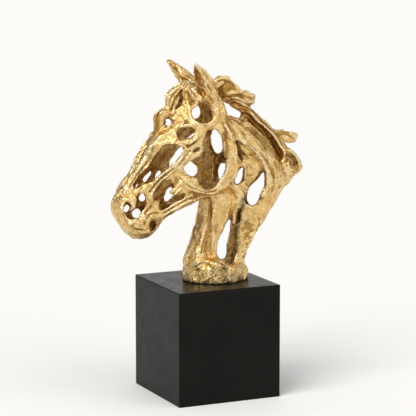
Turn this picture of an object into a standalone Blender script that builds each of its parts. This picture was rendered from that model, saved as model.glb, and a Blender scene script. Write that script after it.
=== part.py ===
"""Horse figurine: an openwork gilt horse head and neck, cast in one, on a square black plinth.

The nose points to -X, up is +Z, and the origin is the middle of the plinth's underside.
Sizes are in millimetres. The tables of the casting are drawn at a height of DRAWN_HEIGHT, with
their own zero at the underside of its foot, and are scaled to CASTING_HEIGHT.
The near side, which carries the fuller carving, is -Y.
"""
import math

import bmesh
import bpy
import numpy as np
from mathutils import Vector
from mathutils.bvhtree import BVHTree

MM = 0.001

# Plinth
PLINTH_SIDE = 140.0
PLINTH_HEIGHT = 145.0
PLINTH_EDGE = 1.2

# The casting stands this far above the plinth
GAP = 0.3
SEAT = PLINTH_HEIGHT + GAP

# Height of the casting over the ears, and the height at which its tables are drawn
CASTING_HEIGHT = 281.0
DRAWN_HEIGHT = 281.0
SHARE = CASTING_HEIGHT / DRAWN_HEIGHT

# Wall of the hollow head and neck
WALL = 6.0

# Fusing: voxel size, rounds of smoothing and the number of triangles that is kept
VOXEL = 2.0
ROUNDING = 4
TRIANGLES = 7400

# Sections: points round a ring, steps between stations, and how square a section is
RING = 40
STEPS = 4
SQUARE = 0.68
ROUND = 0.85

# How far a band stands out of the skin
BAND_LIFT = 0.4

# Cutters for the openings start this far from the middle
CUT_START = 3.0

# Head, from the muzzle to the poll, as sections of its profile:
# upper x and z, lower x and z, half width, and how much narrower the upper edge is
HEAD = [
    (-121.5, 85, -111, 67, 11, 0.00),
    (-127.5, 98, -99, 60, 18.5, 0.00),
    (-126.5, 110.5, -85, 60.5, 22, 0.05),
    (-119, 121.5, -72, 73, 22, 0.20),
    (-106.5, 140, -64, 84, 22, 0.35),
    (-93.5, 159, -52, 90.5, 26, 0.40),
    (-80.5, 179, -36, 97.5, 30, 0.35),
    (-67, 193.5, -18, 104.5, 34, 0.20),
    (-53, 204, 4, 110, 35, 0.15),
    (-40, 221, 22, 124, 34, 0.10),
    (-26, 238, 31, 140, 32, 0.15),
    (-10, 246, 33, 158, 30, 0.10),
    (3, 245, 31, 174, 26, 0.05),
    (11, 237, 25, 190, 21, 0.00),
    (15, 224, 18, 204, 12, 0.00),
]

# Neck, from the poll over the crest to the nape's end; this part is hollow
NECK = [
    (-2, 214, -24, 186, 18, 0.00),
    (14, 213, -16, 160, 24, 0.00),
    (33, 208, -6, 145, 27, 0.05),
    (53, 200.5, 4, 132, 29, 0.10),
    (71, 188, 14, 122, 29, 0.10),
    (84, 173, 24, 112, 28, 0.10),
    (93, 158, 31, 104, 27, 0.10),
    (102, 142, 36, 97, 25, 0.10),
    (110.5, 127, 38, 90, 22, 0.05),
    (102.5, 108, 38, 84, 19, 0.00),
    (88.5, 88, 36, 72, 17, 0.00),
]

# The solid rear column below the neck
COLUMN = [
    (78, 72, 34, 60, 15.5, 0.00),
    (66.5, 59, 33.5, 50, 15.5, 0.00),
    (58, 44, 33.5, 38, 14.5, 0.00),
    (52, 31, 32.5, 27, 14.5, 0.00),
    (49, 21, 29, 18, 17, 0.00),
    (49, 8, 22, 8, 21, 0.00),
]

# Cutters for the openings reach well past the widest section
CUT_REACH = 2 * max(row[4] for row in HEAD + NECK)

# Front column: x, y, z, half size along the profile, half width
THROAT = [
    (12, 0, 128, 22, 22),
    (13.5, 0, 106, 20.5, 22),
    (12, 0, 92, 18.5, 21),
    (8, 0, 77, 18, 20),
    (1, 0, 62, 16, 18),
    (-5, 0, 47, 16.5, 18),
    (-8, 0, 33, 19, 19),
    (-7.5, 0, 22, 22.5, 25),
    (-6, 0, 12, 26, 30),
]

# Foot of the casting: height, half length, half width, and how much its near front corner
# rises; it is cut in flats between corners at these turns, and FOOT_HIGH is the turn that rises
FOOT_X = 11.5
FOOT_CORNERS = (-152, -111, -79, -28, 20, 62, 101, 140, 176)
FOOT_HIGH = -135
FOOT = [
    (-4, 43.5, 39.5, 0),
    (4, 44.5, 40.5, 0),
    (14, 43.5, 39.5, 13),
    (18, 40, 36, 15),
    (20, 30, 26, 16),
]

# Openings through the near wall: x, z, half width along each stroke
NEAR_WINDOWS = {
    "nose": [(-104, 129, 2.5), (-93, 138, 4.5), (-82.5, 146, 7), (-72, 156, 9.5),
             (-63, 165, 11), (-55, 169, 9), (-48.5, 171.5, 4)],
    "eye": [(-45, 191.5, 6.5), (-39, 193, 7.5), (-32, 195, 3.5)],
    "temple": [(-23, 216, 7), (-16.5, 213.5, 10.5), (-14, 224, 7.5), (-13, 233, 4)],
    "cheek": [(-5.5, 187, 9.5), (-6, 177, 13.5), (-7, 163, 14.5), (-7.5, 151.5, 20),
              (-9.5, 139, 18), (-11, 130, 8.5)],
    "cheek_front": [(-37, 149.5, 7.5), (-26, 149.5, 13)],
    "mouth": [(-83, 112, 3), (-76.5, 119, 5.5), (-69.5, 125.5, 7), (-62.5, 131.5, 4.5)],
    "mouth_corner": [(-52, 137.5, 3.6)],
    "lower_jaw": [(-70, 103, 6), (-65.5, 110, 7), (-57, 112, 5), (-45.5, 115, 2)],
    "nostril": [(-116.5, 104, 5.5), (-114.5, 96, 6.5), (-108.5, 93, 6), (-102, 96, 4.5)],
    "nostril_back": [(-97, 115, 4.5), (-99, 106, 5.5)],
    "lip": [(-84, 81, 4), (-83, 75, 4)],
    "hollow": [(28, 177.5, 3), (33.5, 168.5, 6), (40.5, 161.5, 8), (50.5, 155.5, 5),
               (61, 150.5, 2)],
    "throat": [(37, 144.5, 2), (33.5, 138.5, 4.5), (31.3, 132.5, 6.3), (31.5, 127, 3.5)],
    "neck": [(49, 146.5, 8), (55.5, 130, 13), (56, 116, 12.5), (54.5, 104.5, 10.5)],
    "neck_top": [(55, 144.5, 6), (64, 138.5, 6)],
}

# Openings through the far wall
FAR_WINDOWS = {
    "nose": [(-88.2, 123.3, 3), (-78.8, 131, 3.6), (-67.8, 139.8, 3)],
    "nose_back": [(-56, 131, 4), (-53.5, 136, 4)],
    "eye": [(-45, 192, 5), (-40, 193.5, 5.5)],
    "temple": [(-10, 219, 6), (-5.5, 212, 8)],
    "cheek": [(-29, 147.5, 8), (-21, 156, 9), (-4, 167, 13.5), (0, 177, 8)],
    "cheek_low": [(-26, 147, 8.5), (-11, 140, 8), (-7, 137.5, 8)],
    "jaw_lens": [(25.5, 184, 5.5), (27.5, 174, 8), (28, 164, 5), (28.5, 159, 2)],
    "jaw_back": [(34.5, 139, 5.5), (31, 130.5, 4.5), (27.5, 126, 2.5)],
    "mouth": [(-47.5, 101.5, 2.4), (-42.5, 107.5, 3.6), (-37, 113, 4.2)],
    "mouth_corner": [(-28, 133, 4.5)],
    "nostril": [(-103, 95.5, 5)],
    "lip": [(-89, 88.5, 6)],
    "nostril_back": [(-80, 108.5, 5)],
    "throat": [(62, 134.5, 2.5), (59, 127, 4.5), (54.5, 120, 4)],
    "neck": [(91, 128, 3), (87.5, 116, 6.5), (79.5, 104.5, 10), (75, 96.5, 9)],
}

# Raised bands on the near wall: x, z, radius along each band
NEAR_BANDS = {
    "nasal": [(-121, 113, 3), (-111, 128, 3.2), (-98, 147, 3.4), (-84, 168, 3.6),
              (-70, 187, 3.6), (-58, 197, 3.6), (-46, 205, 3.4)],
    "facial_crest": [(-86, 110, 2.6), (-85.5, 121, 2.8), (-81, 132, 3), (-73, 140.5, 3.2),
                     (-64, 148, 3.4), (-55, 156.5, 3.6), (-47, 166, 3.8), (-40, 174, 3.6),
                     (-31, 181, 3)],
    "brow": [(-58, 190, 2.4), (-51, 199, 3), (-42, 202.5, 3), (-33, 202, 2.6), (-27, 199, 2)],
    "lid": [(-55, 181, 2), (-47, 180.5, 2.8), (-39, 183, 3), (-31, 188, 2.6), (-26, 195, 2)],
    "temple": [(-31, 210, 2), (-26, 205, 2.6), (-18, 201.5, 2.8), (-8, 203, 2.8),
               (-1, 210, 3), (1, 222, 3.2), (1, 234, 3)],
    "jaw_ring": [(11, 200, 3), (17, 191, 3.6), (22, 180, 4), (24.5, 166, 4.4), (27, 153, 4.4),
                 (26, 140, 4.4), (20, 128, 4.2), (9, 119.5, 4), (-4, 116.5, 3.8),
                 (-17, 118.5, 3.6), (-30, 123.5, 3.6), (-41, 129.5, 3.2), (-49, 138, 2.6)],
    "mandible": [(-72, 93, 2.8), (-59, 98.5, 3), (-47, 104.5, 3), (-35, 108.5, 3), (-20, 109, 2.6)],
    "poll": [(8, 232, 3.4), (10, 220, 3.4), (12, 209, 3.4), (16, 198, 3.4), (22, 188, 3)],
    "crest_low": [(22, 203, 2.6), (33, 197, 3), (44, 187, 3), (54, 173, 3), (64, 158.5, 3),
                  (72, 146, 3.2), (73.5, 132, 3.4), (70.5, 115, 3.4), (65, 102, 3)],
    "crest_mid": [(40, 202, 2.4), (55, 193, 2.6), (68, 179, 2.6), (78, 163, 2.6),
                  (84, 149, 2.8), (84, 134, 3), (79, 118, 3)],
    "hollow_lip": [(25, 186, 2.2), (36, 180.5, 2.4), (47, 172, 2.4), (56, 162, 2.4),
                   (65, 152, 2.6), (69, 141, 2.6)],
    "neck_strut": [(39, 154, 2.2), (41, 144, 2.4), (40.5, 132, 2.4), (38, 121, 2.6)],
    "throat_front": [(-6, 104, 3), (-5, 88, 3.2), (-8, 68, 3.2), (-14, 48, 3.4), (-20, 32, 3.6),
                     (-24, 20, 3.4)],
    "throat_middle": [(3, 108, 3), (2, 92, 3.4), (-3, 74, 3.4), (-9, 58, 3.2), (-16, 44, 3.2),
                      (-19, 30, 3)],
    "throat_back": [(20, 104, 3), (19, 88, 3.4), (13, 70, 3.2), (5.5, 54, 3.2), (3, 42, 3.4),
                    (5, 30, 3.6), (9, 20, 3.4)],
    "rear_front": [(44, 84, 2.6), (41, 66, 2.8), (38, 50, 2.8), (37, 34, 2.8), (34, 22, 2.8)],
    "rear_back": [(85, 96, 2.8), (72, 76, 2.8), (60, 58, 2.8), (51, 42, 2.8), (46, 28, 2.8)],
    "nostril_rim": [(-108, 112, 2.4), (-116, 112, 2.6), (-122, 106, 2.8), (-122, 96, 3),
                    (-117, 87.5, 3), (-108, 85, 3), (-100, 88, 2.8), (-95, 95, 2.4)],
    "lower_lip": [(-121, 92, 2.6), (-114, 83, 3), (-104, 77, 3), (-94, 74, 2.8)],
}

# Raised bands on the far wall
FAR_BANDS = {
    "nasal": NEAR_BANDS["nasal"],
    "facial_crest": NEAR_BANDS["facial_crest"],
    "brow": NEAR_BANDS["brow"],
    "lid": NEAR_BANDS["lid"],
    "jaw_ring": [(4, 200, 3), (9, 190, 3.4), (12, 179, 3.6), (13.5, 166, 3.8), (15, 153, 3.8),
                 (15, 141, 3.8), (12, 129, 3.8), (5, 120, 3.8), (-6, 116.5, 3.8),
                 (-17, 118.5, 3.6), (-30, 123.5, 3.6), (-41, 129.5, 3.2), (-49, 138, 2.6)],
    "mandible": [(-72, 86, 2.6), (-59, 91.5, 2.8), (-47, 97, 2.8), (-35, 102.5, 2.6),
                 (-20, 107, 2.6)],
    "poll": NEAR_BANDS["poll"],
    "poll_back": [(14, 229, 5), (17.5, 216, 6), (21, 203, 5)],
    "crest_mid": [(40, 202, 2.4), (55, 193, 2.6), (70, 176, 2.6), (82, 158, 2.6),
                  (93, 143, 2.8), (98, 128, 3)],
    "neck_strut": [(85, 152, 2.6), (80, 134, 3), (67, 116, 3.2), (60, 100, 3)],
    "throat_front": NEAR_BANDS["throat_front"],
    "throat_middle": NEAR_BANDS["throat_middle"],
    "throat_back": NEAR_BANDS["throat_back"],
    "rear_front": NEAR_BANDS["rear_front"],
    "rear_back": NEAR_BANDS["rear_back"],
}

# Grooves cut in the near skin: x, z, radius, and how deep the centre lies under the skin
GROOVES = {
    "closed_lid": [(-43, 175, 1.6, 0), (-35, 177.5, 2, 0), (-28, 182.5, 1.6, 0)],
    "under_jaw": [(-38, 115.5, 2.4, 0), (-20, 111.5, 2.8, 0), (-2, 110.5, 2.8, 0),
                  (14, 116, 2.4, 0)],
    "column": [(-3, 62, 3, 0), (-5.5, 50, 5, -1), (-7, 38, 5.5, -1), (-8, 30, 4, 0)],
}

# Free strands: x, y, z, half size in the profile, half size across
STRANDS = {
    "mane": [(2, 2, 245, 6, 8), (14, 2, 247, 4.5, 9), (26, 2, 238.5, 4.5, 10),
             (39, 2, 229.5, 4.5, 10), (52, 2, 220.5, 4.5, 10), (64, 2, 210.5, 4.5, 10),
             (74, 2, 200.5, 4.5, 10), (84, 2, 191, 5.2, 10), (95, 2, 177.5, 6, 10),
             (105, 2, 165, 6.5, 10), (113, 2, 149, 5, 10), (116, 2, 136, 7, 9)],
    "mane_top": [(6, 0, 246, 5, 8), (12, -1, 254, 4.5, 7), (24, -1, 256.5, 4, 7),
                 (33, -1, 250, 4, 7), (41, 0, 242.5, 4, 7), (47, 1, 236, 4, 6)],
    "mane_knot": [(14, -3, 248, 5, 6), (24, -3, 250, 6, 6), (34, -2, 245.5, 6, 6),
                  (44, -1, 237, 5, 6)],
    "mane_side": [(18, 3, 237, 6, 4), (31, 4, 230.5, 7.5, 4), (45, 4, 222, 8, 4),
                  (57, 4, 212.5, 7.5, 4), (64, 3, 203, 5, 4)],
    "mane_sheet": [(52, 7, 210, 6, 3), (62, 8, 203, 8, 3), (74, 8, 193.5, 8, 3),
                   (85, 8, 181, 8, 3), (93, 8, 168, 8, 3), (101, 8, 154, 8, 3),
                   (107, 6, 145, 6, 3)],
    "leaf_lock": [(22, 2, 237, 4, 6), (36, 3, 235.5, 7, 5), (50, 4, 232, 7.5, 4),
                  (62, 5, 228.5, 8.5, 3.5), (71, 5, 226, 7, 3)],
    "flying_lock": [(88, 2, 187, 4, 5), (98, 3, 182, 6.5, 4), (110, 4, 179, 7.6, 4),
                    (121.5, 5, 175.5, 8, 3.5), (130.5, 5, 173, 6.5, 3)],
    "end_lock": [(104, 0, 160, 6, 7), (114, 0, 157, 5.5, 8), (122, 0, 150, 6, 8),
                 (129.5, 0, 140.5, 5, 7), (134.5, 0, 134, 3.5, 5)],
    "end_shelf": [(98, 0, 139, 9, 10), (110, 0, 136, 10, 10), (121, 0, 135, 9, 9),
                  (131.5, 0, 135, 5, 6)],
    "end_web": [(98, 0, 116, 8, 10), (108, 0, 121, 8, 9), (117, 0, 127.5, 7, 8),
                (125, 0, 132.5, 5, 6)],
    "forelock": [(-10, 2, 247, 6, 8), (-24, 2, 247, 8.5, 8), (-38, 1, 240.5, 11, 7),
                 (-47, 0, 231, 11, 6), (-51, 0, 221.5, 7, 5)],
    "side_lock": [(-22, -8, 248, 5, 6), (-27, -11, 241, 8, 5), (-27, -13, 234, 7, 4.5),
                  (-18, -14, 229.5, 2.6, 3)],
    "low_lock": [(-50, -3, 215, 4, 5), (-41, -5, 220, 4.5, 6), (-31, -7, 226, 4.5, 5)],
    "curl": [(-42, 0, 213, 4, 6), (-53, 0, 215.5, 5.8, 7), (-62, 0, 216.5, 5.5, 7),
             (-69, 0, 211, 4.8, 7), (-68, 0, 204.5, 4.5, 7), (-62, 0, 204.5, 4, 6),
             (-61, 0, 210, 3, 5)],
    "curl_foot": [(-67, 0, 205, 4.5, 6), (-69.5, 0, 198, 4.5, 6), (-72, 0, 191, 4, 6)],
    "jaw_strut": [(26, -23, 124, 3, 4), (32, -23, 117, 5.5, 4.5), (34.5, -21.5, 109, 6.5, 5),
                  (33, -18, 99, 6, 5), (31.5, -14, 88, 4.5, 5), (32, -11, 76, 3.4, 5),
                  (34, -10, 64, 3, 4)],
    "neck_fold": [(36, -20, 177, 5, 3.5), (44, -20, 168, 12, 3.5), (52, -20, 158, 15, 3.5),
                  (55, -20, 148, 15, 3.5), (52, -20, 138, 13, 3.5), (48, -20, 129, 9, 3.5),
                  (44.5, -20, 121, 6, 3.5), (41.5, -20, 113, 4.5, 3.5), (40, -20, 105, 4, 3.5)],
    "nostril_strip": [(-106, -18, 117, 3, 2.6), (-107.5, -18, 108, 2.8, 2.6),
                      (-111, -17, 100.5, 2.6, 2.6), (-114.5, -14, 97.5, 2.2, 2.4)],
    "mouth_curl": [(-50, -28, 134, 2.6, 3), (-55, -28, 140, 2.4, 3), (-59, -27, 136, 2.2, 2.6),
                   (-58, -26, 130, 2, 2.4)],
    "mouth_lobe": [(-46, -29, 124, 4, 3), (-55, -28, 119, 4, 3), (-62, -26, 117, 2.4, 2.4)],
}

# The near ear and its hollow, as x, y, z and radius from its foot to its tip
EAR = [
    (-4, -17, 232, 11),
    (-9.5, -21, 242, 12.8),
    (-16.8, -27, 254, 12.5),
    (-25.2, -33, 266, 9.5),
    (-32, -38.5, 276, 5.2),
    (-36, -41, 281.5, 1.8),
]
EAR_HOLLOW = [
    (-15, -22.5, 238, 6.5),
    (-20, -26, 247, 9.2),
    (-27, -31.5, 258.5, 8.6),
    (-33.5, -37, 269.5, 5.4),
    (-38, -41, 277.5, 2),
]

# The far ear is its mirror image, but turned forward by this x and z, and this much thicker
FAR_EAR = (-2.5, -1.5, 0.6)

# Slot between the forehead curl and the nose, as x, y, z and radius
CURL_GAP = [
    (-63, -20, 206, 4.4),
    (-53.5, 0, 203.6, 5),
    (-45, 18, 201, 5),
    (-38, 34, 199, 5),
]


def curve(rows, steps):
    """Fill in a row of stations with a smooth curve through them."""
    p = np.array(rows, float)
    p = np.vstack([2 * p[0] - p[1], p, 2 * p[-1] - p[-2]])
    out = []
    for a, b, c, d in zip(p, p[1:], p[2:], p[3:]):
        for t in np.arange(steps) / steps:
            out.append(0.5 * (2 * b + (c - a) * t + (2 * a - 5 * b + 4 * c - d) * t * t
                              + (3 * b - a - 3 * c + d) * t ** 3))
    out.append(p[-2])
    return np.array(out)


def place(x, y, z):
    """Table millimetres to scene metres."""
    return (x * SHARE * MM, y * SHARE * MM, (z * SHARE + SEAT) * MM)


def closed_mesh(name, rings):
    """Join rings of points to a closed skin."""
    n = len(rings[0])
    points = [p for ring in rings for p in ring]
    faces = []
    for i in range(len(rings) - 1):
        for k in range(n):
            m = (k + 1) % n
            faces.append((i * n + k, i * n + m, (i + 1) * n + m, (i + 1) * n + k))
    faces.append(tuple(range(n)))
    faces.append(tuple(len(points) - 1 - k for k in range(n)))
    mesh = bpy.data.meshes.new(name)
    mesh.from_pydata(points, [], faces)
    tool = bmesh.new()
    tool.from_mesh(mesh)
    bmesh.ops.recalc_face_normals(tool, faces=tool.faces)
    tool.to_mesh(mesh)
    tool.free()
    return mesh


def power(value, exponent):
    return math.copysign(abs(value) ** exponent, value)


def hull(name, stations, inset):
    """Loft a head or neck; the inset gives its inner skin."""
    rings = []
    for ux, uz, lx, lz, half, egg in curve(stations, STEPS):
        middle = ((ux + lx) / 2, (uz + lz) / 2)
        arm = ((ux - lx) / 2, (uz - lz) / 2)
        length = math.hypot(arm[0], arm[1])
        keep = max(length - inset, 1.0) / length
        width = max(half - inset, 1.0)
        ring = []
        for k in range(RING):
            a = 2 * math.pi * k / RING
            up = power(math.cos(a), ROUND)
            out = power(math.sin(a), SQUARE)
            ring.append(place(middle[0] + arm[0] * keep * up, width * out * (1 - egg * up),
                              middle[1] + arm[1] * keep * up))
        rings.append(ring)
    return closed_mesh(name, rings)


def tube(name, rows, sides=16, steps=4):
    """A strand along x, y, z with its half size in the profile and across it."""
    path = curve(rows, steps)
    run = np.gradient(path[:, :3], axis=0)
    run /= np.linalg.norm(run, axis=1)[:, None]
    rings = []
    for p, t in zip(path, run):
        side = np.cross(t, (0.0, 1.0, 0.0))
        side /= np.linalg.norm(side)
        across = np.cross(t, side)
        ring = []
        for a in np.arange(sides) * 2 * math.pi / sides:
            q = p[:3] + side * math.cos(a) * p[3] + across * math.sin(a) * p[4]
            ring.append(place(q[0], q[1], q[2]))
        rings.append(ring)
    return closed_mesh(name, rings)


def foot(name):
    """The foot, cut in flats of uneven width."""
    rings = []
    for z, half_x, half_y, rise in FOOT:
        ring = []
        for corner in FOOT_CORNERS:
            a = math.radians(corner)
            high = max(math.cos(a - math.radians(FOOT_HIGH)), 0.0) ** 3
            ring.append(place(FOOT_X + half_x * math.cos(a), half_y * math.sin(a),
                              z + rise * high))
        rings.append(ring)
    return closed_mesh(name, rings)


def joined(name, meshes):
    """Put several meshes in one object."""
    tool = bmesh.new()
    for mesh in meshes:
        tool.from_mesh(mesh)
    mesh = bpy.data.meshes.new(name)
    tool.to_mesh(mesh)
    tool.free()
    thing = bpy.data.objects.new(name, mesh)
    bpy.context.scene.collection.objects.link(thing)
    return thing


def settled(thing):
    """Apply the modifiers of an object."""
    bpy.context.view_layer.update()
    graph = bpy.context.evaluated_depsgraph_get()
    mesh = bpy.data.meshes.new_from_object(thing.evaluated_get(graph))
    thing.modifiers.clear()
    thing.data = mesh
    return thing


def fused(name, meshes, voxel):
    """Fuse overlapping closed meshes to one skin."""
    thing = joined(name, meshes)
    remesh = thing.modifiers.new("fuse", "REMESH")
    remesh.mode = "VOXEL"
    remesh.voxel_size = voxel * MM
    return settled(thing)


def drum(x, z, radius, y0, y1, sides=20):
    """A short cylinder along Y."""
    rings = []
    for y in (y0, y1):
        ring = []
        for k in range(sides):
            a = 2 * math.pi * k / sides
            ring.append(place(x + radius * math.cos(a), y, z + radius * math.sin(a)))
        rings.append(ring)
    return closed_mesh("drum", rings)


def window(rows, side):
    """Cutters for one opening: drums along its stroke, through the wall of one side."""
    near, far = sorted((side * CUT_START, side * CUT_REACH))
    if len(rows) == 1:
        return [drum(rows[0][0], rows[0][1], rows[0][2], near, far)]
    cutters = []
    for x, z, half in curve(rows, 4):
        cutters.append(drum(x, z, max(half, 1.0), near, far))
    return cutters


class Skin:
    """Finds the outer skin beside a point of the profile."""

    def __init__(self, thing):
        points = [v.co.copy() for v in thing.data.vertices]
        faces = [tuple(f.vertices) for f in thing.data.polygons]
        self.tree = BVHTree.FromPolygons(points, faces)

    def y(self, x, z, side):
        start = Vector(place(x, side * CUT_REACH, z))
        spot = self.tree.ray_cast(start, Vector((0, -side, 0)))[0]
        return None if spot is None else spot.y / (MM * SHARE)


def band(name, rows, skin, side, lift):
    """A round band that follows the skin of one side."""
    path = []
    for row in curve(rows, 3):
        y = skin.y(row[0], row[1], side)
        if y is None:
            continue
        depth = row[3] if len(row) > 3 else 0.0
        path.append((row[0], y + side * (lift + depth), row[1], row[2], row[2]))
    return tube(name, path, 10, 1)


def far_ear(rows):
    return [(x + FAR_EAR[0], -y, z + FAR_EAR[1], r + FAR_EAR[2]) for x, y, z, r in rows]


def rod(name, rows):
    """A round strand along x, y, z and radius."""
    return tube(name, [(x, y, z, r, r) for x, y, z, r in rows])


def paint(thing, name, colour, metallic, roughness):
    """Give an object its own material."""
    material = bpy.data.materials.new(name)
    material.use_nodes = True
    shader = material.node_tree.nodes["Principled BSDF"]
    shader.inputs["Base Color"].default_value = (colour[0], colour[1], colour[2], 1.0)
    shader.inputs["Metallic"].default_value = metallic
    shader.inputs["Roughness"].default_value = roughness
    material.diffuse_color = (colour[0], colour[1], colour[2], 1.0)
    thing.data.materials.clear()
    thing.data.materials.append(material)


def casting():
    """The head, the neck and the foot as one skin."""
    outer = fused("outer", [hull("head", HEAD, 0.0), hull("neck", NECK + COLUMN, 0.0),
                            tube("throat", THROAT, 24), foot("foot")], VOXEL)
    skin = Skin(outer)
    inner = [hull("head_inner", HEAD[1:-1], WALL / SHARE),
             hull("neck_inner", NECK, WALL / SHARE)]
    for rows in NEAR_WINDOWS.values():
        inner += window(rows, -1)
    for rows in FAR_WINDOWS.values():
        inner += window(rows, 1)
    hollow = fused("hollow", inner, VOXEL)
    cut = outer.modifiers.new("cut", "BOOLEAN")
    cut.operation = "DIFFERENCE"
    cut.solver = "EXACT"
    cut.object = hollow
    settled(outer)
    shapes = [outer.data]
    for name, rows in NEAR_BANDS.items():
        shapes.append(band(name, rows, skin, -1, BAND_LIFT))
    for name, rows in FAR_BANDS.items():
        shapes.append(band(name, rows, skin, 1, BAND_LIFT))
    for name, rows in STRANDS.items():
        shapes.append(tube(name, rows))
    shapes += [rod("ear", EAR), rod("ear", far_ear(EAR))]
    body = fused("horse_head", shapes, VOXEL)
    carve = [rod("hollow", EAR_HOLLOW), rod("hollow", far_ear(EAR_HOLLOW)),
             rod("curl_gap", CURL_GAP)]
    for name, rows in GROOVES.items():
        carve.append(band(name, rows, skin, -1, 0.0))
    chisel = fused("chisel", carve, VOXEL)
    groove = body.modifiers.new("groove", "BOOLEAN")
    groove.operation = "DIFFERENCE"
    groove.solver = "EXACT"
    groove.object = chisel
    settled(body)
    again = body.modifiers.new("again", "REMESH")
    again.mode = "VOXEL"
    again.voxel_size = VOXEL * MM
    soft = body.modifiers.new("soft", "SMOOTH")
    soft.iterations = ROUNDING
    soft.factor = 0.5
    settled(body)
    for helper in (outer, hollow, chisel):
        bpy.data.objects.remove(helper)
    return body


def largest_piece(mesh):
    """Keep the largest connected skin."""
    tool = bmesh.new()
    tool.from_mesh(mesh)
    seen = set()
    pieces = []
    for vertex in tool.verts:
        if vertex.index in seen:
            continue
        stack = [vertex]
        seen.add(vertex.index)
        piece = []
        while stack:
            v = stack.pop()
            piece.append(v)
            for edge in v.link_edges:
                w = edge.other_vert(v)
                if w.index not in seen:
                    seen.add(w.index)
                    stack.append(w)
        pieces.append(piece)
    pieces.sort(key=len)
    for piece in pieces[:-1]:
        bmesh.ops.delete(tool, geom=piece, context="VERTS")
    tool.to_mesh(mesh)
    tool.free()


def flat_foot(mesh):
    """Cut the casting level at the plinth."""
    tool = bmesh.new()
    tool.from_mesh(mesh)
    everything = list(tool.verts) + list(tool.edges) + list(tool.faces)
    cut = bmesh.ops.bisect_plane(tool, geom=everything, plane_co=(0, 0, SEAT * MM),
                                 plane_no=(0, 0, 1), clear_inner=True, dist=1e-6)
    rim = [e for e in cut["geom_cut"] if isinstance(e, bmesh.types.BMEdge)]
    bmesh.ops.holes_fill(tool, edges=rim, sides=0)
    bmesh.ops.triangulate(tool, faces=tool.faces)
    bmesh.ops.recalc_face_normals(tool, faces=tool.faces)
    tool.to_mesh(mesh)
    tool.free()


def horse_head():
    body = casting()
    largest_piece(body.data)
    body.data.calc_loop_triangles()
    thin = body.modifiers.new("thin", "DECIMATE")
    thin.ratio = min(1.0, TRIANGLES / len(body.data.loop_triangles))
    thin.use_collapse_triangulate = True
    settled(body)
    flat_foot(body.data)
    body.data.shade_smooth()
    body.name = "horse_head"
    body.data.name = "horse_head"
    paint(body, "gilt_casting", (0.83, 0.58, 0.24), 1.0, 0.35)
    return body


def plinth():
    bpy.ops.mesh.primitive_cube_add(size=1.0, location=(0, 0, PLINTH_HEIGHT * MM / 2))
    block = bpy.context.object
    block.name = "plinth"
    block.data.name = "plinth"
    block.scale = (PLINTH_SIDE * MM, PLINTH_SIDE * MM, PLINTH_HEIGHT * MM)
    bpy.ops.object.transform_apply(location=False, rotation=False, scale=True)
    edge = block.modifiers.new("edge", "BEVEL")
    edge.width = PLINTH_EDGE * MM
    edge.segments = 2
    settled(block)
    paint(block, "black_paint", (0.012, 0.011, 0.010), 0.0, 0.45)
    return block


def main():
    for thing in list(bpy.data.objects):
        bpy.data.objects.remove(thing)
    plinth()
    horse_head()


main()
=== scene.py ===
"""Looks of the horse figurine: fine carving, gold leaf, black plinth, floor, light and camera.

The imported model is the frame. Lengths are in metres.
"""

import math

import bmesh
import bpy
import numpy as np
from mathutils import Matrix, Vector, noise
from mathutils.bvhtree import BVHTree
from mathutils.kdtree import KDTree


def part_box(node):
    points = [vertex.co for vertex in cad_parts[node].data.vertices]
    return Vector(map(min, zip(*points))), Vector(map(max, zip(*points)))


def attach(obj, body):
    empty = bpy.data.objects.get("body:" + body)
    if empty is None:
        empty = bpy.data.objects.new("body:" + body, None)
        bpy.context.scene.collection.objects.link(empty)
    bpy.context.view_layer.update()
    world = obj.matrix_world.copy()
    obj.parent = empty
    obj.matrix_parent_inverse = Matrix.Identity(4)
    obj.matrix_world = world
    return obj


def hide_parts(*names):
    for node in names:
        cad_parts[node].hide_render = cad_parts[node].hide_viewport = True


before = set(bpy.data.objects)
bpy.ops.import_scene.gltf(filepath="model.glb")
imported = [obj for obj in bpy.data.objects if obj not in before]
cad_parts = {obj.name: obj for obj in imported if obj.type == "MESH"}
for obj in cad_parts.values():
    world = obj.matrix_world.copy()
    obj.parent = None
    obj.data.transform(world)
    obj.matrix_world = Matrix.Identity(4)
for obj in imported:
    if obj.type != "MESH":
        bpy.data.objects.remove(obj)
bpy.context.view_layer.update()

MM = 0.001

# The photograph's camera: turned about +Z, raised, at this distance from the aim
CAMERA_TURN = math.radians(-24.83)
CAMERA_RISE = math.radians(9.32)
CAMERA_DISTANCE = 2.666
CAMERA_LENS = 181.6
CAMERA_SENSOR = 36.0
AIM = Vector((0.0013, -0.0006, 0.2374))

# Fine skin of the casting: voxel size, how close points of the solid are taken for one, rounds
# of smoothing, how far it is swollen after them in millimetres, and the triangles that are kept
FINE_VOXEL = 1.3 * MM
WELD = 0.01 * MM
SOFTEN = 4
SWELL = 0.35
TRIANGLES = 190000

# Places that are smoothed more or less: middle x, y, z, reach, in millimetres, and the rounds;
# and how steeply that fades toward the reach
SMOOTHING = [(-52, 36, 412, 34, 14), (11, 0, 150, 52, 1)]
SMOOTHING_FADE = 3.0

# Carving strokes are drawn on the upright plane at this y and cast on the skin from the camera,
# a point for each step; a point more than a jump from the last one is left out. The far side
# repeats them, cast from beyond it, at a share of their strength. In millimetres.
STROKE_PLANE = -30.0
STROKE_STEP = 1.0
STROKE_JUMP = 9.0
BEYOND = 200.0
FAR_SHARE = 0.8

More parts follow.
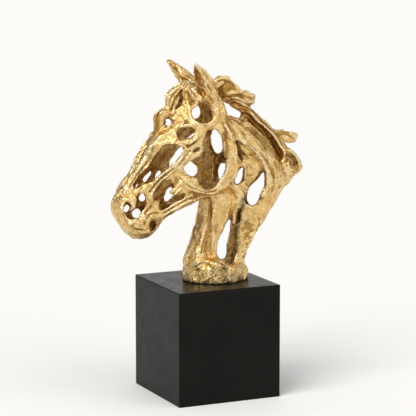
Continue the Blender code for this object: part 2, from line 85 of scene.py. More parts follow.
# Strokes of the carving: height over the skin (a groove is negative), half width, and the
# stroke's x and z on the plane, all in millimetres
STROKES = {
    "dorsum_groove": (-1.6, 3.0, [(-86, 343), (-100, 318), (-107, 307), (-117, 292), (-123, 280),
                                  (-128, 274)]),
    "nose_ridge": (1.5, 3.6, [(-126, 270), (-120, 283), (-113, 293), (-105, 303), (-97, 313),
                              (-90, 324), (-85, 335), (-75, 337), (-68, 338), (-60, 344),
                              (-52, 352)]),
    "nose_groove": (-1.5, 2.2, [(-118, 277), (-110, 288), (-100, 299), (-90, 311), (-86, 322)]),
    "nose_second": (1.2, 2.6, [(-113, 283), (-100, 297), (-88, 307), (-84, 320), (-80, 330)]),
    "crest_upper": (1.4, 2.8, [(-83, 283), (-74, 290), (-66, 296), (-56, 301), (-50, 306),
                               (-46, 315)]),
    "crest_lower": (1.3, 2.8, [(-91, 262), (-86, 270), (-80, 276), (-72, 284), (-62, 291),
                               (-52, 296), (-44, 304), (-38, 311)]),
    "crest_groove": (-1.7, 2.0, [(-92, 268), (-86, 276), (-78, 283), (-68, 289), (-60, 295)]),
    "crest_groove_top": (-1.7, 2.0, [(-52, 300), (-46, 306), (-41, 311), (-37, 316)]),
    "lid_slit": (-2.2, 1.8, [(-41, 322), (-36, 323), (-31, 326), (-28, 328)]),
    "eye_pit": (-2.5, 3.0, [(-30, 316), (-25, 318)]),
    "lid_upper": (1.2, 2.2, [(-56, 328), (-48, 329), (-40, 326), (-33, 328), (-28, 332)]),
    "lid_lower": (1.0, 2.0, [(-52, 325), (-45, 322), (-38, 319)]),
    "brow_dot": (-1.6, 3.0, [(-43, 353), (-41, 353)]),
    "muzzle_groove": (-1.6, 2.0, [(-99, 243), (-92, 247), (-90, 250)]),
    "lip_ridge": (1.8, 3.0, [(-120, 230), (-112, 234), (-104, 240), (-98, 246)]),
    "lip_groove": (-1.2, 2.2, [(-128, 243), (-124, 234), (-117, 226), (-108, 222), (-100, 221)]),
    "chin_pit": (-2.4, 4.5, [(-89, 222), (-86, 227)]),
    "chin_line": (-1.3, 1.8, [(-98, 228), (-95, 236), (-88, 241), (-80, 240)]),
    "nostril_rim": (1.4, 2.6, [(-128, 262), (-122, 263), (-116, 258), (-113, 250)]),
    "nostril_tongue": (1.2, 2.0, [(-117, 262), (-113, 256), (-113, 248), (-117, 243),
                                  (-120, 242)]),
    "mouth_curl": (1.0, 1.8, [(-63, 286), (-60, 282), (-61, 278)]),
    "mouth_lobe": (1.2, 2.4, [(-66, 266), (-60, 268), (-55, 272), (-50, 277)]),
    "mandible_upper": (1.3, 2.4, [(-72, 244), (-58, 250), (-45, 257)]),
    "mandible_lower": (1.3, 2.2, [(-75, 236), (-55, 246), (-35, 254)]),
    "mandible_groove": (-1.5, 1.8, [(-73, 240), (-57, 248), (-42, 255), (-25, 258), (-8, 258)]),
    "cheek_line": (-1.2, 1.8, [(-50, 283), (-42, 274), (-30, 268), (-15, 263), (0, 265)]),
    "ear_front": (1.2, 2.2, [(-31, 420), (-31, 410), (-27, 402), (-22, 392), (-16, 383)]),
    "ear_hollow": (-2.6, 3.4, [(-30, 417), (-26, 408), (-25, 400), (-21, 392), (-18, 386)]),
    "ear_beads": (1.7, 2.0, [(-26, 400), (-21, 394), (-16, 390), (-12, 384), (-8, 380)]),
    "ear_back": (1.0, 2.2, [(-29, 424), (-18, 416), (-8, 405), (0, 395), (4, 385)]),
    "far_ear_left": (1.2, 2.2, [(-66, 428), (-61, 415), (-56, 405), (-50, 399)]),
    "far_ear_fold": (-1.6, 2.2, [(-58, 422), (-52, 412), (-48, 407), (-40, 404)]),
    "far_ear_right": (1.0, 2.0, [(-55, 424), (-45, 415), (-36, 410), (-31, 406)]),
    "lobe_edge": (1.4, 2.4, [(-48, 398), (-60, 391), (-70, 385), (-71, 378), (-69, 370),
                             (-62, 366)]),
    "lobe_flute_a": (-1.4, 1.8, [(-50, 396), (-60, 387), (-66, 375)]),
    "lobe_flute_b": (-1.4, 1.8, [(-48, 392), (-56, 382), (-62, 370)]),
    "lobe_gap": (-2.6, 2.0, [(-48, 392), (-48, 384), (-50, 377), (-56, 371)]),
    "lobe_arch": (2.4, 2.4, [(-46, 377), (-46, 388), (-44, 396), (-39, 401), (-33, 400)]),
    "lobe_strand": (2.2, 2.0, [(-38, 392), (-33, 386), (-27, 381), (-23, 380)]),
    "leaf_hollow": (-3.4, 4.4, [(-42, 389), (-38, 382), (-34, 377)]),
    "temple_strand": (1.8, 2.4, [(-43, 374), (-42, 366), (-40, 358)]),
    "curl_line": (-1.2, 1.8, [(-74, 366), (-80, 360), (-80, 350), (-81, 342)]),
    "curl_inner": (-1.2, 1.6, [(-66, 366), (-60, 361), (-56, 367)]),
    "knot_edge": (1.3, 2.4, [(-6, 406), (0, 408), (14, 407), (20, 400), (28, 394), (33, 388)]),
    "knot_curl_a": (-1.7, 1.9, [(4, 391), (10, 397), (18, 400), (24, 395)]),
    "knot_curl_b": (-1.7, 1.9, [(-2, 398), (6, 403), (14, 402)]),
    "knot_curl_c": (-1.5, 1.9, [(12, 387), (20, 391), (28, 388)]),
    "leaf_edge": (1.4, 2.2, [(20, 386), (33, 388), (42, 386), (50, 382)]),
    "leaf_groove_a": (-1.4, 1.8, [(16, 380), (28, 383), (40, 381), (49, 377)]),
    "leaf_groove_b": (-1.4, 1.8, [(12, 375), (26, 377), (38, 374), (47, 371)]),
    "mane_outer": (1.5, 2.6, [(33, 362), (48, 358), (58, 348), (70, 338), (82, 327), (90, 314),
                              (97, 303)]),
    "mane_groove": (-1.7, 2.0, [(35, 368), (50, 362), (60, 352), (72, 341), (84, 330),
                                (92, 317)]),
    "mane_inner": (-1.2, 3.5, [(40, 357), (55, 342), (70, 325), (82, 308), (90, 294)]),
    "flying_edge": (1.2, 2.2, [(82, 335), (94, 336), (105, 334), (112, 325)]),
    "flying_groove": (-1.3, 1.8, [(86, 330), (98, 330), (109, 323)]),
    "knob_edge": (1.5, 2.6, [(92, 297), (96, 310), (105, 308), (113, 300), (116, 290)]),
    "knob_groove": (-2.0, 2.6, [(99, 303), (107, 299), (112, 291)]),
    "jaw_ring": (1.5, 3.0, [(12, 345), (20, 333), (20, 320), (18, 305), (14, 290), (6, 278),
                            (-4, 270), (-15, 266), (-25, 268)]),
    "jaw_ring_line": (-1.3, 1.8, [(8, 350), (13, 335), (14, 320), (12, 305), (8, 292)]),
    "neck_front": (1.4, 2.8, [(24, 330), (32, 327), (42, 320), (52, 312), (60, 305), (66, 295),
                              (70, 285), (72, 275), (70, 262), (66, 252)]),
    "neck_line_a": (-0.5, 1.7, [(20, 345), (35, 335), (50, 322), (62, 310), (72, 298),
                                (80, 285)]),
    "neck_line_b": (-0.5, 1.7, [(30, 350), (46, 340), (60, 327), (72, 313), (81, 300)]),
    "neck_line_c": (-1.3, 1.9, [(76, 288), (81, 272), (78, 258)]),
    "crest_edge": (1.3, 2.6, [(9, 363), (20, 357), (32, 355), (40, 350), (52, 343), (66, 334),
                              (74, 323), (82, 312), (87, 300), (90, 294)]),
    "column_flute_a": (-1.6, 2.0, [(-28, 250), (-32, 215), (-40, 190)]),
    "column_flute_b": (-1.6, 2.0, [(-22, 255), (-24, 235), (-27, 215), (-31, 195), (-33, 180)]),
    "column_ridge": (1.2, 3.0, [(-16, 250), (-17, 225), (-21, 200), (-25, 182)]),
    "column_flute_c": (-1.2, 2.2, [(-10, 255), (-9, 235), (-12, 215), (-18, 200), (-22, 185)]),
    "column_recess": (-0.8, 3.5, [(-11, 205), (-11, 192), (-10, 181)]),
    "column_back": (1.4, 2.4, [(-5, 225), (-5, 205), (-7, 190), (-2, 178)]),
    "strut_facet": (1.2, 3.0, [(27, 266), (35, 258), (36, 250), (31, 241)]),
    "strut_strip": (1.2, 2.2, [(23, 232), (22, 222), (19, 213), (18, 200), (17, 188), (18, 178)]),
    "strut_groove": (-2.2, 2.2, [(31, 240), (29, 225), (25, 210), (23, 195), (21, 180),
                                 (12, 168)]),
    "foot_edge": (1.0, 2.2, [(-30, 171), (-18, 175), (-10, 173), (0, 170), (12, 164)]),
    "foot_corner_a": (0.7, 1.8, [(-33, 149), (-33, 170)]),
    "foot_corner_b": (0.7, 1.8, [(0, 148), (-1, 170)]),
    "foot_corner_c": (0.7, 1.8, [(24, 147), (23, 163)]),
    "foot_crease": (-0.7, 1.6, [(-12, 174), (-9, 166), (-11, 156), (-8, 149)]),
}

# Patina besides that of the grooves, and painted shade under the mane: strength, half width and
# the stroke
STAINS = {
    "foot_facet": (0.80, 9.5, [(11, 146), (11, 166)]),
    "strut_side": (1.0, 7.0, [(36, 250), (33, 236), (30, 222), (28, 208), (27, 195), (24, 182),
                              (19, 170)]),
    "column_side": (0.6, 3.0, [(-30, 245), (-33, 225), (-38, 205), (-43, 185), (-48, 165)]),
    "column_spot": (0.9, 2.2, [(2, 222), (1, 217)]),
    "neck_streak": (0.75, 2.4, [(31, 342), (36, 333), (45, 320), (55, 312), (64, 304)]),
    "neck_streak_low": (0.6, 2.4, [(62, 330), (72, 315), (78, 300)]),
    "crest_streak": (0.9, 2.0, [(-92, 270), (-84, 277), (-74, 287), (-64, 293)]),
    "lid_streak": (0.9, 2.2, [(-52, 308), (-44, 316), (-38, 322), (-29, 329)]),
    "brow_spot": (0.95, 3.4, [(-43, 354), (-41, 352)]),
    "nose_streak": (0.7, 2.6, [(-96, 312), (-88, 322), (-80, 327), (-72, 330)]),
    "jaw_streak": (0.6, 2.2, [(-60, 262), (-40, 260), (-20, 262), (0, 262), (14, 268)]),
    "cheek_streak": (0.6, 2.4, [(-48, 290), (-38, 280), (-30, 274)]),
    "mouth_streak": (0.8, 1.8, [(-96, 262), (-90, 255), (-88, 247)]),
    # Painted shade: darkens the underside of the mane
    "mane_under_shade": (0.35, 4.5, [(40, 360), (55, 345), (70, 326), (82, 308), (86, 300)]),
    "knob_top": (0.6, 4.0, [(99, 304), (105, 304)]),
}

# Strokes that are hair, whose flutes are deeper, and strokes that the far side doesn't repeat:
# those drawn for the far ear itself, and the foot's
HAIR = ("lobe", "leaf", "curl", "knot", "mane", "flying")
NEAR_ONLY = ("far_ear", "foot")

# Grooves in which the gold stays clean
CLEAN = ("leaf_hollow", "ear_hollow", "column_recess", "neck_line")

# A groove of this depth is as dark as its patina gets, and its patina reaches this much wider
STAIN_DEPTH = 2.2
STAIN_WIDTH = 1.15

# Lines that the grain of the casting follows where no stroke lies, drawn like the strokes
FLOWS = [
    [(75, 262), (64, 235), (54, 210), (47, 185), (42, 165)],
    [(66, 250), (52, 222), (42, 195), (34, 168)],
    [(-30, 345), (-15, 350), (0, 352)],
    [(-12, 395), (-4, 380), (2, 365), (6, 350)],
    [(5, 300), (2, 285), (-8, 275)],
]

# Pitted places: middle x, y, z and reach, in millimetres, and how steeply they fade; and the
# noises that place the pits in them, each with its scale and its shift, and the small one's share
PITTED = [(64, 0, 212, 24), (54, 0, 190, 24), (48, 0, 170, 24), (118, 0, 288, 18),
          (100, 0, 275, 20), (84, 0, 240, 22)]
PITTED_FADE = 1.5
WIDE_PITS = (330, 4)
SMALL_PITS = (600, 9)
SMALL_PIT_SHARE = 0.5

# Hair flutes reach this far, in millimetres, from every few points of a hair stroke
HAIR_REACH = 9.0
HAIR_STEP = 3

# The grain at a point follows this many of the nearest stroke points, the closer ones more; the
# softening keeps a point on a stroke from counting alone. Combing keeps this share of a value in
# each round and takes the rest from its neighbours: a link counts by this power of how well it
# lies along the grain, and at least a little.
GRAIN_NEIGHBOURS = 8
GRAIN_SOFTENING = 2 * MM
COMB_KEEP = 0.3
COMB_POWER = 12
COMB_LEAST = 1e-4

# Heights in millimetres of the streaks, of the flutes in hair, and of the pits
STREAK = 0.28
FLUTE = 0.80
PIT = 4.4

# Rounds of combing for the streaks and the flutes, then rounds of smoothing: before the flutes
# are combed, for what the strokes and the rays give, and to find hollows and creases
STREAK_ROUNDS = 30
FLUTE_ROUNDS = 90
FLUTE_SOFTENING = 3
HAIR_SOFTENING = 6
STAIN_SOFTENING = 1
SHADE_SOFTENING = 2
CAVITY_ROUNDS = 14
CREASE_ROUNDS = 3

# Start of the random draws
SEED = 5

# Flats of the hammered foil: how many, the slope of their tilt, and how hollow they are, in
# millimetres for each millimetre and for each square millimetre from the middle. Each point
# belongs to the lowest of the nearest few.
FLATS = [(1500, 0.045, 0.003), (7000, 0.045, 0.010)]
FLAT_NEIGHBOURS = 5

# The foot, up to this height in millimetres, gets this share of all the carving
FOOT_TOP = 167.0
FOOT_SHARE = 0.3

# Shading of the hollows: rays from each point, how far over the skin they start, how far they
# look, and how much of a ray has to point away from the skin
RAYS = 26
RAY_START = 0.6 * MM
RAY_REACH = 70 * MM
RAY_LEAST = 0.15

# The casting's underside
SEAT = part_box("horse_head")[0].z

# The studio: a round floor, the world's light, and wide soft suns, each with its turn, its rise
# and its spread in degrees, its strength and its colour
FLOOR_RADIUS = 16.0
FLOOR_SIDES = 96
FLOOR_COLOUR = (0.95, 0.95, 0.95, 1.0)
FLOOR_ROUGHNESS = 0.9
WORLD_COLOUR = (1.0, 0.99, 0.97, 1.0)
WORLD_STRENGTH = 0.38
SUNS = {
    "key": (-62, 48, 40, 2.0, (1.0, 0.985, 0.96)),
    "fill": (35, 36, 60, 0.8, (1.0, 0.99, 0.98)),
    "back": (155, 22, 50, 0.35, (1.0, 0.99, 0.97)),
}

# Colours of the gilding, painted highlight and painted shade among them, and of the plinth's
# paint
GOLD_DEEP = (0.76, 0.48, 0.16)
GOLD = (0.86, 0.60, 0.24)
GOLD_PALE = (0.96, 0.76, 0.42)
RUBBED_AND_HIGHLIGHT = (1.0, 0.88, 0.62)
PAINTED_SHADE = (0.46, 0.25, 0.05)
UNDERSIDE_SHADE = (0.48, 0.27, 0.06)
HOLLOW_SHADE = (0.44, 0.22, 0.035)
PATINA_AND_SHADE = (0.13, 0.095, 0.045)
PAINT_DARK = (0.006, 0.0055, 0.0045)
PAINT_LIGHT = (0.009, 0.0085, 0.007)


def direction(turn, rise):
    """A unit vector to a place seen from the object; turn 0 is -Y."""
    flat = math.cos(rise)
    return Vector((math.sin(turn) * flat, -math.cos(turn) * flat, math.sin(rise)))


def make_camera():
    data = bpy.data.cameras.new("camera")
    data.lens = CAMERA_LENS
    data.sensor_width = CAMERA_SENSOR
    thing = bpy.data.objects.new("camera", data)
    bpy.context.scene.collection.objects.link(thing)
    back = direction(CAMERA_TURN, CAMERA_RISE)
    thing.location = AIM + back * CAMERA_DISTANCE
    thing.rotation_euler = back.to_track_quat("Z", "Y").to_euler()
    bpy.context.scene.camera = thing


def make_sun(name, turn, rise, spread, strength, colour):
    """A soft light, as even over the floor as a studio's large screen."""
    data = bpy.data.lights.new(name, "SUN")
    data.angle = math.radians(spread)
    data.energy = strength
    data.color = colour
    thing = bpy.data.objects.new(name, data)
    bpy.context.scene.collection.objects.link(thing)
    back = direction(math.radians(turn), math.radians(rise))
    thing.rotation_euler = back.to_track_quat("Z", "Y").to_euler()


def make_stage():
    bpy.ops.mesh.primitive_circle_add(vertices=FLOOR_SIDES, radius=FLOOR_RADIUS,
                                      fill_type="NGON")
    floor = bpy.context.object
    floor.name = "floor"
    material = bpy.data.materials.new("floor_paint")
    material.use_nodes = True
    shader = material.node_tree.nodes["Principled BSDF"]
    shader.inputs["Base Color"].default_value = FLOOR_COLOUR
    shader.inputs["Roughness"].default_value = FLOOR_ROUGHNESS
    floor.data.materials.append(material)
    world = bpy.data.worlds.new("studio")
    bpy.context.scene.world = world
    world.use_nodes = True
    sky = world.node_tree.nodes["Background"]
    sky.inputs["Color"].default_value = WORLD_COLOUR
    sky.inputs["Strength"].default_value = WORLD_STRENGTH
    bpy.context.scene.view_settings.view_transform = "Standard"
    for name, values in SUNS.items():
        make_sun(name, *values)


def settled(thing):
    """Give a thing the mesh that its modifiers make of it."""
    bpy.context.view_layer.update()
    graph = bpy.context.evaluated_depsgraph_get()
    mesh = bpy.data.meshes.new_from_object(thing.evaluated_get(graph))
    thing.modifiers.clear()
    thing.data = mesh


def points_of(mesh):
    out = np.zeros(len(mesh.vertices) * 3, np.float64)
    mesh.vertices.foreach_get("co", out)
    return out.reshape(-1, 3)


def normals_of(mesh):
    out = np.zeros(len(mesh.vertices) * 3, np.float32)
    mesh.vertex_normals.foreach_get("vector", out)
    return out.reshape(-1, 3).astype(float)


def finder_of(places):
    """A search tree for the places nearest to a spot."""
    finder = KDTree(len(places))
    for i, place in enumerate(places):
        finder.insert(place, i)
    finder.balance()
    return finder


def closeness(points, x, y, z, reach, fade):
    """One at a spot, and zero from its reach on, for each point."""
    away = np.linalg.norm(points - np.array((x, y, z)) * MM, axis=1) / (reach * MM)
    return np.clip(fade - fade * away, 0, 1)


def smoothed(values, edges, rounds):
    """Average values at the points with their neighbours', several times."""
    count = np.bincount(edges.ravel(), minlength=len(values)).astype(float)
    count = np.maximum(count, 1.0)
    out = values.astype(float).copy()
    flat = out.ndim == 1
    if flat:
        out = out[:, None]
    for _ in range(rounds):
        total = np.zeros_like(out)
        for axis in range(out.shape[1]):
            total[:, axis] = (np.bincount(edges[:, 0], out[edges[:, 1], axis], len(out))
                              + np.bincount(edges[:, 1], out[edges[:, 0], axis], len(out)))
        out = 0.5 * out + 0.5 * total / count[:, None]
    return out[:, 0] if flat else out


def edges_of(mesh):
    out = np.zeros(len(mesh.edges) * 2, np.int32)
    mesh.edges.foreach_get("vertices", out)
    return out.reshape(-1, 2)


def curve(rows):
    """Fill in a stroke with a smooth curve, a point for each STROKE_STEP."""
    p = np.array(rows, float)
    p = np.vstack([2 * p[0] - p[1], p, 2 * p[-1] - p[-2]])
    out = []
    for a, b, c, d in zip(p, p[1:], p[2:], p[3:]):
        count = max(2, int(np.linalg.norm(c - b) / STROKE_STEP))
        for t in np.arange(count) / count:
            out.append(0.5 * (2 * b + (c - a) * t + (2 * a - 5 * b + 4 * c - d) * t * t
                              + (3 * b - a - 3 * c + d) * t ** 3))
    out.append(p[-2])
    return out


def cast(rows, tree):
    """Lay a stroke on the skin as the camera sees it, and on the far side across it."""
    eye = AIM + direction(CAMERA_TURN, CAMERA_RISE) * CAMERA_DISTANCE
    near = []
    far = []
    for x, z in curve(rows):
        spot = Vector((x, STROKE_PLANE, z)) * MM
        hit = tree.ray_cast(eye, (spot - eye).normalized())[0]
        if hit is None or near and (hit - near[-1]).length > STROKE_JUMP * MM:
            continue
        near.append(hit)
        back = tree.ray_cast(Vector((hit.x, BEYOND * MM, hit.z)), Vector((0, -1, 0)))[0]
        if back is None or back.y < 0:
            continue
        if not far or (back - far[-1]).length < STROKE_JUMP * MM:
            far.append(back)
    return near, far


def directions(path):
    """The unit run of a path at each of its points."""
    run = np.gradient(np.array(path), axis=0)
    return run / np.maximum(np.linalg.norm(run, axis=1), 1e-9)[:, None]


def reached(path, half, finder):
    """The points within reach of a path, and how far off they are as a share of the reach."""
    reach = {}
    for spot in path:
        for _, i, away in finder.find_range(spot, half * MM):
            if away < reach.get(i, 1.0):
                reach[i] = away
    return np.array(list(reach), int), np.array(list(reach.values())) / (half * MM)


def carve(points, tree, finder):
    """What the strokes give the skin: height, patina and painted shade, hair, and the strokes'
    own runs.
    """
    lift = np.zeros(len(points))
    stain_and_shade = np.zeros(len(points))
    hair = np.zeros(len(points))
    places = []
    runs = []
    for name, (height, half, rows) in STROKES.items():
        near, far = cast(rows, tree)
        if name.startswith(NEAR_ONLY):
            far = []
        for path, share in ((near, 1.0), (far, FAR_SHARE)):
            if len(path) < 2:
                continue
            places += path
            runs.append(directions(path))
            found, away = reached(path, half, finder)
            lift[found] += height * share * (1 - away ** 2)
            if height < 0 and not name.startswith(CLEAN):
                found, away = reached(path, half * STAIN_WIDTH, finder)
                dark = min(-height / STAIN_DEPTH, 1.0) * share * (1 - away ** 2)
                stain_and_shade[found] = np.maximum(stain_and_shade[found], dark)
            if name.startswith(HAIR):
                hair[reached(path[::HAIR_STEP], HAIR_REACH, finder)[0]] = 1.0
    for strength, half, rows in STAINS.values():
        for path, share in zip(cast(rows, tree), (1.0, FAR_SHARE)):
            if path:
                found, away = reached(path, half, finder)
                stain_and_shade[found] = np.maximum(stain_and_shade[found], strength * share * (1 - away ** 2))
    for rows in FLOWS:
        for path in cast(rows, tree):
            if len(path) > 1:
                places += path
                runs.append(directions(path))
    return lift, stain_and_shade, hair, places, np.vstack(runs)


def flow(points, normals, places, runs):
    """The grain's direction at each point, from the nearest strokes."""
    finder = finder_of(places)
    out = np.zeros_like(points)
    for i, p in enumerate(points):
        found = finder.find_n(p, GRAIN_NEIGHBOURS)
        first = runs[found[0][1]]
        total = np.zeros(3)
        for _, k, away in found:
            run = runs[k]
            total += (run if run @ first > 0 else -run) / (away + GRAIN_SOFTENING)
        out[i] = total
    out -= normals * (out * normals).sum(1)[:, None]
    return out / np.maximum(np.linalg.norm(out, axis=1), 1e-9)[:, None]


def links_of(mesh):
    """Every edge and both diagonals of each square face."""
    corners = np.zeros(len(mesh.loops), np.int32)
    mesh.loops.foreach_get("vertex_index", corners)
    starts = np.zeros(len(mesh.polygons), np.int32)
    mesh.polygons.foreach_get("loop_start", starts)
    sizes = np.zeros(len(mesh.polygons), np.int32)
    mesh.polygons.foreach_get("loop_total", sizes)
    square = corners[starts[sizes == 4][:, None] + np.arange(4)]
    return np.vstack([edges_of(mesh), square[:, (0, 2)], square[:, (1, 3)]])


def combed(values, points, links, grain, rounds):
    """Smear values along the grain and bring them to a spread of one."""
    span = points[links[:, 1]] - points[links[:, 0]]
    span /= np.maximum(np.linalg.norm(span, axis=1), 1e-9)[:, None]
    line = np.maximum(abs((span * grain[links[:, 0]]).sum(1)),
                      abs((span * grain[links[:, 1]]).sum(1))) ** COMB_POWER + COMB_LEAST
    size = len(values)
    total = np.bincount(links[:, 0], line, size) + np.bincount(links[:, 1], line, size)
    out = values
    for _ in range(rounds):
        gain = (np.bincount(links[:, 0], line * out[links[:, 1]], size)
                + np.bincount(links[:, 1], line * out[links[:, 0]], size))
        out = COMB_KEEP * out + (1 - COMB_KEEP) * gain / total
    out = out - out.mean()
    return out / out.std()


def openness(points, normals, tree):
    """The share of the sky over each point that the casting leaves free."""
    turn = math.pi * (3 - math.sqrt(5))
    steps = np.arange(RAYS) + 0.5
    high = 1 - 2 * steps / RAYS
    flat = np.sqrt(1 - high ** 2)
    rays = np.stack([flat * np.cos(turn * steps), flat * np.sin(turn * steps), high], 1)
    facing = normals @ rays.T
    rays = [Vector(ray) for ray in rays]
    out = np.zeros(len(points))
    for i, (p, n) in enumerate(zip(points, normals)):
        start = Vector(p + n * RAY_START)
        total = 0.0
        free = 0.0
        for k in np.flatnonzero(facing[i] > RAY_LEAST):
            total += facing[i][k]
            if tree.ray_cast(start, rays[k], RAY_REACH)[0] is None:
                free += facing[i][k]
        out[i] = free / total
    return out


def flats(points, count, slope, hollow, draw):
    """Flats with crisp ridges between them, each with its own tilt: the lift at each point."""
    seeds = points[draw.choice(len(points), count, replace=False)]
    tilts = draw.normal(size=(count, 3)) * slope
    finder = finder_of(seeds)
    own = np.array([[found[1] for found in finder.find_n(p, FLAT_NEIGHBOURS)] for p in points])
    span = (points[:, None] - seeds[own]) / MM
    return ((span * tilts[own]).sum(2) + hollow * (span ** 2).sum(2)).min(1)


def patches(points, scale, shift):
    """Smooth noise at each point."""
    move = Vector((shift, shift * 2, shift * 3))
    return np.array([noise.noise(Vector(p) * scale + move) for p in points])


def set_points(mesh, points):
    mesh.vertices.foreach_set("co", points.astype(np.float32).ravel())
    mesh.update()


def make_skin():
    """A fine mesh of the solid's form, and the solid itself as a tree for rays."""
    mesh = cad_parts["horse_head"].data.copy()
    thing = bpy.data.objects.new("gilt_head", mesh)
    bpy.context.scene.collection.objects.link(thing)
    tool = bmesh.new()
    tool.from_mesh(mesh)
    bmesh.ops.remove_doubles(tool, verts=tool.verts, dist=WELD)
    bmesh.ops.recalc_face_normals(tool, faces=tool.faces)
    solid = BVHTree.FromBMesh(tool)
    tool.to_mesh(mesh)
    tool.free()
    remesh = thing.modifiers.new("fine", "REMESH")
    remesh.mode = "VOXEL"
    remesh.voxel_size = FINE_VOXEL
    settled(thing)
    return thing, solid


def softened(rough, edges):
    """The skin without the steps that its voxels left."""
    out = smoothed(rough, edges, SOFTEN)
    for x, y, z, reach, rounds in SMOOTHING:
        share = closeness(rough, x, y, z, reach, SMOOTHING_FADE)[:, None]
        out = out * (1 - share) + smoothed(rough, edges, rounds) * share
    return out


def relief(mesh, points, normals, edges):
    """How high the carving lifts each point, in millimetres, and its marks for the gilding."""
    faces = [tuple(face.vertices) for face in mesh.polygons]
    tree = BVHTree.FromPolygons([Vector(p) for p in points], faces)
    lift, stain_and_shade, hair, places, runs = carve(points, tree, finder_of(points))
    hair = smoothed(hair, edges, HAIR_SOFTENING)
    grain = flow(points, normals, places, runs)
    links = links_of(mesh)
    draw = np.random.default_rng(SEED)
    streak = combed(draw.normal(size=len(points)), points, links, grain, STREAK_ROUNDS)
    flute = smoothed(draw.normal(size=len(points)), edges, FLUTE_SOFTENING)
    flute = combed(flute, points, links, grain, FLUTE_ROUNDS)
    lift += STREAK * streak + (STREAK + (FLUTE - STREAK) * hair) * flute
    for count, slope, hollow in FLATS:
        lift += flats(points, count, slope, hollow, draw)
    lift[points[:, 2] < FOOT_TOP * MM] *= FOOT_SHARE
    pitted = np.zeros(len(points))
    for spot in PITTED:
        pitted = np.maximum(pitted, closeness(points, *spot, PITTED_FADE))
    pits = patches(points, *WIDE_PITS) + SMALL_PIT_SHARE * patches(points, *SMALL_PITS)
    lift -= PIT * pitted * np.clip(pits, 0, 1)
    marks = {
        "streak": streak,
        "stain_and_shade": smoothed(stain_and_shade, edges, STAIN_SOFTENING),
        "pitted": pitted,
    }
    return lift, marks


def surroundings(points, normals, edges, solid):
    """What the gilding needs to know of the form: hollows, creases, shade and undersides."""
    around = smoothed(points, edges, CAVITY_ROUNDS)
    beside = smoothed(points, edges, CREASE_ROUNDS)
    return {
        "cavity": ((around - points) * normals).sum(1) / MM,
        "crease": ((beside - points) * normals).sum(1) / MM,
        "open": smoothed(openness(points, normals, solid), edges, SHADE_SOFTENING),
        "under": smoothed(-normals[:, 2], edges, SHADE_SOFTENING),
    }


def make_head():
    """The casting: the solid's form with its fine carving and what the gilding reads."""
    thing, solid = make_skin()
    mesh = thing.data
    edges = edges_of(mesh)
    points = softened(points_of(mesh), edges)
    set_points(mesh, points)
    normals = normals_of(mesh)
    points = points + normals * SWELL * MM
    lift, marks = relief(mesh, points, normals, edges)
    points = points + normals * (lift * MM)[:, None]
    points[:, 2] = np.maximum(points[:, 2], SEAT)
    set_points(mesh, points)
    marks.update(surroundings(points, normals_of(mesh), edges, solid))
    for name, values in marks.items():
        store = mesh.attributes.new(name, "FLOAT", "POINT")
        store.data.foreach_set("value", values.astype(np.float32))
    thin = thing.modifiers.new("thin", "DECIMATE")
    thin.ratio = min(1.0, TRIANGLES / (2 * len(mesh.polygons)))
    settled(thing)
    thing.data.shade_smooth()
    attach(thing, "root")
    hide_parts("horse_head")
    return thing


# The colour sockets of a mixing node, by their place
MIX_FIRST = 6
MIX_SECOND = 7
MIX_RESULT = 2


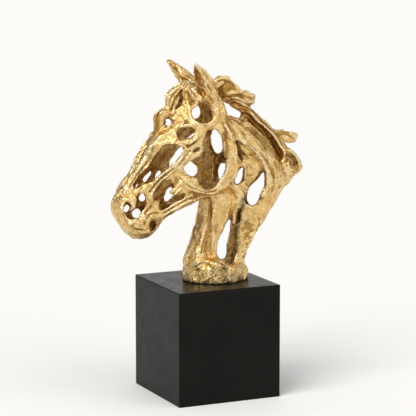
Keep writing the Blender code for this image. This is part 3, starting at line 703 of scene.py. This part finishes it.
class Nodes:
    """Short ways to build a material."""

    def __init__(self, name):
        self.material = bpy.data.materials.new(name)
        self.material.use_nodes = True
        self.tree = self.material.node_tree
        self.shader = self.tree.nodes["Principled BSDF"]

    def link(self, source, target):
        self.tree.links.new(source, target)

    def ramp(self, source, stops):
        node = self.tree.nodes.new("ShaderNodeValToRGB")
        band = node.color_ramp
        while len(band.elements) < len(stops):
            band.elements.new(0.5)
        for element, (place, colour) in zip(band.elements, stops):
            element.position = place
            element.color = colour + (1.0,)
        self.link(source, node.inputs["Fac"])
        return node.outputs["Color"]

    def mapped(self, source, low, high, new_low=0.0, new_high=1.0):
        """Bring a value from one span to another, smoothly at both ends."""
        node = self.tree.nodes.new("ShaderNodeMapRange")
        node.interpolation_type = "SMOOTHSTEP"
        for key, value in (("From Min", low), ("From Max", high), ("To Min", new_low),
                           ("To Max", new_high)):
            node.inputs[key].default_value = value
        self.link(source, node.inputs["Value"])
        return node.outputs["Result"]

    def mix(self, share, first, colour):
        """Lay a plain colour over what is there, by a share."""
        node = self.tree.nodes.new("ShaderNodeMix")
        node.data_type = "RGBA"
        self.link(share, node.inputs["Factor"])
        self.link(first, node.inputs[MIX_FIRST])
        node.inputs[MIX_SECOND].default_value = colour + (1.0,)
        return node.outputs[MIX_RESULT]

    def maths(self, what, first, second):
        node = self.tree.nodes.new("ShaderNodeMath")
        node.operation = what
        for socket, value in zip(node.inputs, (first, second)):
            if isinstance(value, float):
                socket.default_value = value
            else:
                self.link(value, socket)
        return node.outputs[0]

    def stored(self, name):
        """A value that the mesh keeps at its points."""
        node = self.tree.nodes.new("ShaderNodeAttribute")
        node.attribute_name = name
        return node.outputs["Fac"]

    def foil(self, scale):
        """Small flats, each with its own tilt, as crumpled foil has."""
        place = self.tree.nodes.new("ShaderNodeTexCoord").outputs["Object"]
        cells = self.tree.nodes.new("ShaderNodeTexVoronoi")
        cells.inputs["Scale"].default_value = scale
        self.link(place, cells.inputs["Vector"])
        span = self.vector("SUBTRACT", place, cells.outputs["Position"])
        tilt = self.vector("SUBTRACT", cells.outputs["Color"], (0.5, 0.5, 0.5))
        slope = self.vector("DOT_PRODUCT", span, tilt, "Value")
        lean = self.maths("MULTIPLY", slope, 2.0 * scale)
        return self.maths("ADD", lean, self.maths("MULTIPLY", cells.outputs["Distance"], 0.5))

    def vector(self, what, first, second, result="Vector"):
        node = self.tree.nodes.new("ShaderNodeVectorMath")
        node.operation = what
        for socket, value in zip(node.inputs, (first, second)):
            if isinstance(value, tuple):
                socket.default_value = value
            else:
                self.link(value, socket)
        return node.outputs[result]

    def bump(self, height, strength, distance, under=None):
        node = self.tree.nodes.new("ShaderNodeBump")
        node.inputs["Strength"].default_value = strength
        node.inputs["Distance"].default_value = distance
        self.link(height, node.inputs["Height"])
        if under is not None:
            self.link(under, node.inputs["Normal"])
        return node.outputs["Normal"]

    def noise(self, scale, detail=3.0, rough=0.5, warp=0.0):
        place = self.tree.nodes.new("ShaderNodeTexCoord")
        node = self.tree.nodes.new("ShaderNodeTexNoise")
        node.inputs["Scale"].default_value = scale
        node.inputs["Detail"].default_value = detail
        node.inputs["Roughness"].default_value = rough
        node.inputs["Distortion"].default_value = warp
        self.link(place.outputs["Object"], node.inputs["Vector"])
        return node.outputs["Fac"]


def gold_leaf():
    """Gold leaf: pale on the ridges (rubbed, and painted highlight), brown painted shade in the
    hollows, grey-green where patina sits.
    """
    n = Nodes("gold_leaf")
    crease = n.stored("crease")
    streak = n.stored("streak")

    tone = n.noise(75, 4.0, 0.6, 0.4)
    colour = n.ramp(tone, [(0.30, GOLD_DEEP), (0.5, GOLD), (0.70, GOLD_PALE)])
    # Paler on the ridges: rubbed wear, and a painted highlight where the ridges catch the light
    rubbed_and_highlight = n.mapped(crease, -0.05, -0.40)
    colour = n.mix(n.maths("MULTIPLY", rubbed_and_highlight, 0.6), colour, RUBBED_AND_HIGHLIGHT)
    # Painted shade, brown, where the casting hides much of the sky
    shade = n.mapped(n.stored("open"), 0.80, 0.25)
    colour = n.mix(n.maths("MULTIPLY", shade, 0.85), colour, PAINTED_SHADE)
    # Painted shade on the faces that look down
    low = n.mapped(n.stored("under"), 0.1, 0.9)
    colour = n.mix(n.maths("MULTIPLY", low, 0.5), colour, UNDERSIDE_SHADE)
    # Painted shade, darker and deeper brown, in the hollows
    hollow = n.mapped(n.stored("cavity"), 0.3, 1.8)
    colour = n.mix(n.maths("MULTIPLY", hollow, 0.7), colour, HOLLOW_SHADE)

    # Patina: fine grit everywhere, broken stains along the strokes and in the pitted places, and
    # painted shade under the mane
    grit = n.noise(330, 5.0, 0.7, 0.8)
    grit = n.maths("ADD", grit, n.maths("MULTIPLY", streak, -0.05))
    grit = n.maths("ADD", grit, n.maths("MULTIPLY", crease, 0.22))
    sparse = n.mapped(grit, 0.60, 0.78)
    kept = n.maths("ADD", n.stored("stain_and_shade"), n.maths("MULTIPLY", n.stored("pitted"), 0.22))
    broken = n.maths("MULTIPLY", n.maths("SUBTRACT", n.noise(210, 6.0, 0.75, 0.5), 0.5), 3.2)
    held = n.mapped(n.maths("ADD", n.maths("MULTIPLY", kept, 1.3), broken), 0.35, 1.5)
    held = n.maths("MULTIPLY", held, n.mapped(kept, 0.02, 0.22))
    patina = n.maths("MAXIMUM", n.maths("MULTIPLY", sparse, 0.55),
                     n.maths("MULTIPLY", held, 0.9))
    n.link(n.mix(patina, colour, PATINA_AND_SHADE), n.shader.inputs["Base Color"])

    n.shader.inputs["Metallic"].default_value = 1.0
    n.link(n.mapped(grit, 0.3, 0.75, 0.17, 0.44), n.shader.inputs["Roughness"])
    crackle = n.bump(n.noise(620, 4.0, 0.65, 0.6), 0.9, 0.70 * MM)
    brushed = n.bump(streak, 1.0, 0.35 * MM, crackle)
    n.link(n.bump(n.foil(430), 0.9, 0.60 * MM, brushed), n.shader.inputs["Normal"])
    return n.material


def black_paint():
    """Black paint with a faint brush and a little dust."""
    n = Nodes("matte_black")
    colour = n.ramp(n.noise(14, 4.0, 0.6), [(0.3, PAINT_DARK), (0.7, PAINT_LIGHT)])
    n.link(colour, n.shader.inputs["Base Color"])
    n.shader.inputs["Specular IOR Level"].default_value = 0.09
    n.link(n.mapped(n.noise(60, 5.0, 0.6), 0.3, 0.7, 0.26, 0.36), n.shader.inputs["Roughness"])
    n.link(n.bump(n.noise(900, 2.0, 0.5), 0.2, 0.3 * MM), n.shader.inputs["Normal"])
    return n.material


def finish_node(name, material):
    """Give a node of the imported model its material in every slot."""
    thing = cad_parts[name]
    if not thing.material_slots:
        thing.data.materials.append(material)
    for place in thing.material_slots:
        place.material = material


make_camera()
make_stage()
head = make_head()
head.data.materials.clear()
head.data.materials.append(gold_leaf())
finish_node("plinth", black_paint())
